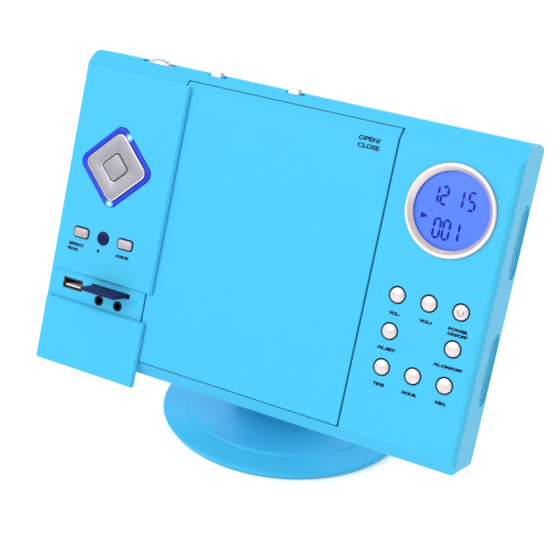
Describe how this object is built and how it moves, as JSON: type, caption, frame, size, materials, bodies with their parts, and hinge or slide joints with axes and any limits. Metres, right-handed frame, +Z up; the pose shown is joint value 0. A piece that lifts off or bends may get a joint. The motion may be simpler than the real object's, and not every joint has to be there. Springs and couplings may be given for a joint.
{
  "type": "tabletop disc player",
  "caption": "Flat-bodied tabletop disc player that leans back on a round foot: front disc door, tilting pad, round display, push buttons and ports under a sliding cover.",
  "frame": {"origin": "middle of the underside of the foot's rubber sheet, on the surface the player stands on", "axes": "+X to the player's right as seen from the front, -Y towards the viewer, +Z up; the face leans back from the viewer by 18.2 degrees"},
  "size_m": [0.271, 0.1582, 0.2142],
  "materials": {
    "sky_blue": "glossy sky blue",
    "bay_grey": "satin",
    "inner_black": "satin black",
    "silver_button": "pearly silver",
    "brushed_silver": "brushed",
    "ring_silver": "satin silver",
    "clear_blue": "clear, deep blue",
    "smoke_blue": "dark blue, see-through",
    "clear_lens": "clear",
    "display_blue": "lit blue",
    "bright_steel": "bright",
    "weight_steel": "plain",
    "white_plastic": "satin white",
    "card_navy": "satin navy",
    "rubber": "matt black",
    "board_green": "green board"
  },
  "bodies": {
    "housing": {"base_shell": "sky_blue", "base_weight": "weight_steel", "base_pad": "rubber", "stand_neck": "sky_blue", "neck_screws": "bright_steel", "front_shell": "sky_blue", "rear_shell": "sky_blue", "shell_screws": "bright_steel", "inner_screws": "bright_steel", "left_panel": "sky_blue", "light_ring": "clear_blue", "ir_window": "smoke_blue", "touch_latch": "inner_black", "disc_deck": "bay_grey", "hinge_pins": "bright_steel", "dampers": "rubber", "damper_screws": "bright_steel", "mech_chassis": "inner_black", "guide_rods": "bright_steel", "sled_motor": "bright_steel", "spindle_motor": "bright_steel", "usb_socket": "bright_steel", "usb_tongue": "white_plastic", "card_socket": "inner_black", "headphone_jack": "inner_black", "line_in_jack": "inner_black", "display_bezel": "ring_silver", "display_lens": "clear_lens", "display_panel": "display_blue", "display_board": "board_green", "key_board": "board_green", "port_board": "board_green", "volume_control": "inner_black", "slide_switches": "inner_black", "left_speaker": "inner_black", "right_speaker": "inner_black", "power_inlet": "inner_black"},
    "door": {"disc_door": "sky_blue"},
    "cover": {"port_cover": "sky_blue"},
    "card": {"memory_card": "card_navy"},
    "pad": {"nav_pad": "brushed_silver"},
    "play": {"play_button": "silver_button"},
    "repeat": {"repeat_key": "silver_button"},
    "album": {"album_key": "silver_button"},
    "wheel": {"volume_wheel": "silver_button"},
    "function_knob": {"function_switch": "silver_button"},
    "band_knob": {"band_switch": "silver_button"},
    "platter": {"turntable": "inner_black"},
    "sled": {"pickup_sled": "inner_black"},
    "lens": {"objective_lens": "clear_lens"},
    "drive_gear": {"sled_gear": "white_plastic"},
    "pinion": {"motor_pinion": "white_plastic"},
    "press_1": {"button_1": "silver_button"},
    "press_2": {"button_2": "silver_button"},
    "press_3": {"button_3": "silver_button"},
    "press_4": {"button_4": "silver_button"},
    "press_5": {"button_5": "silver_button"},
    "press_6": {"button_6": "silver_button"},
    "press_7": {"button_7": "silver_button"},
    "press_8": {"button_8": "silver_button"}
  },
  "joints": [
    {"name": "door_hinge", "type": "hinge", "parent": "housing", "child": "door", "pos_m": [-0.059, -0.04469, 0.12887], "axis": [0, -0.3123, -0.95], "range_deg": [0, 85]},
    {"name": "cover_slide", "type": "slide", "parent": "housing", "child": "cover", "axis": [0, 0.3123, 0.95], "range_m": [0, 0.01]},
    {"name": "card_slide", "type": "slide", "parent": "housing", "child": "card", "axis": [0, -0.95, 0.3123], "range_m": [-0.014, 0.018]},
    {"name": "pad_tilt", "type": "hinge", "parent": "housing", "child": "pad", "pos_m": [-0.1004, -0.03971, 0.1536], "axis": [0, 0.3123, 0.95], "range_deg": [-2, 2], "stiffness_Nm_per_rad": 0.64},
    {"name": "play_press", "type": "slide", "parent": "housing", "child": "play", "axis": [0, 0.95, -0.3123], "range_m": [0, 0.0008], "stiffness_N_per_m": 800},
    {"name": "repeat_press", "type": "slide", "parent": "housing", "child": "repeat", "axis": [0, 0.95, -0.3123], "range_m": [0, 0.0008], "stiffness_N_per_m": 800},
    {"name": "album_press", "type": "slide", "parent": "housing", "child": "album", "axis": [0, 0.95, -0.3123], "range_m": [0, 0.0008], "stiffness_N_per_m": 800},
    {"name": "button_1_press", "type": "slide", "parent": "housing", "child": "press_1", "axis": [0, 0.95, -0.3123], "range_m": [0, 0.0008], "stiffness_N_per_m": 800},
    {"name": "button_2_press", "type": "slide", "parent": "housing", "child": "press_2", "axis": [0, 0.95, -0.3123], "range_m": [0, 0.0008], "stiffness_N_per_m": 800},
    {"name": "button_3_press", "type": "slide", "parent": "housing", "child": "press_3", "axis": [0, 0.95, -0.3123], "range_m": [0, 0.0008], "stiffness_N_per_m": 800},
    {"name": "button_4_press", "type": "slide", "parent": "housing", "child": "press_4", "axis": [0, 0.95, -0.3123], "range_m": [0, 0.0008], "stiffness_N_per_m": 800},
    {"name": "button_5_press", "type": "slide", "parent": "housing", "child": "press_5", "axis": [0, 0.95, -0.3123], "range_m": [0, 0.0008], "stiffness_N_per_m": 800},
    {"name": "button_6_press", "type": "slide", "parent": "housing", "child": "press_6", "axis": [0, 0.95, -0.3123], "range_m": [0, 0.0008], "stiffness_N_per_m": 800},
    {"name": "button_7_press", "type": "slide", "parent": "housing", "child": "press_7", "axis": [0, 0.95, -0.3123], "range_m": [0, 0.0008], "stiffness_N_per_m": 800},
    {"name": "button_8_press", "type": "slide", "parent": "housing", "child": "press_8", "axis": [0, 0.95, -0.3123], "range_m": [0, 0.0008], "stiffness_N_per_m": 800},
    {"name": "volume_turn", "type": "hinge", "parent": "housing", "child": "wheel", "pos_m": [-0.0914, -0.0127, 0.20246], "axis": [0, -0.95, 0.3123], "range_deg": [-150, 150]},
    {"name": "function_slide", "type": "slide", "parent": "housing", "child": "function_knob", "axis": [1, 0, 0], "range_m": [0, 0.003]},
    {"name": "band_slide", "type": "slide", "parent": "housing", "child": "band_knob", "axis": [1, 0, 0], "range_m": [0, 0.003]},
    {"name": "platter_spin", "type": "hinge", "parent": "housing", "child": "platter", "pos_m": [0.0024, -0.03803, 0.12668], "axis": [0, -0.95, 0.3123], "continuous": true},
    {"name": "sled_slide", "type": "slide", "parent": "housing", "child": "sled", "axis": [1, 0, 0], "range_m": [0, 0.032]},
    {"name": "lens_focus", "type": "slide", "parent": "sled", "child": "lens", "axis": [0, -0.95, 0.3123], "range_m": [-0.0004, 0.0004], "stiffness_N_per_m": 50},
    {"name": "gear_spin", "type": "hinge", "parent": "housing", "child": "drive_gear", "pos_m": [0.02, -0.03394, 0.10071], "axis": [0, -0.95, 0.3123], "range_deg": [-439, 0]},
    {"name": "pinion_spin", "type": "hinge", "parent": "housing", "child": "pinion", "pos_m": [0.01187, -0.03363, 0.09205], "axis": [0, -0.95, 0.3123], "range_deg": [0, 1574]}
  ],
  "couplings": [
    {"joint": "gear_spin", "follows": "sled_slide", "rad_per_m": -238.1},
    {"joint": "pinion_spin", "follows": "sled_slide", "rad_per_m": 857.14}
  ]
}
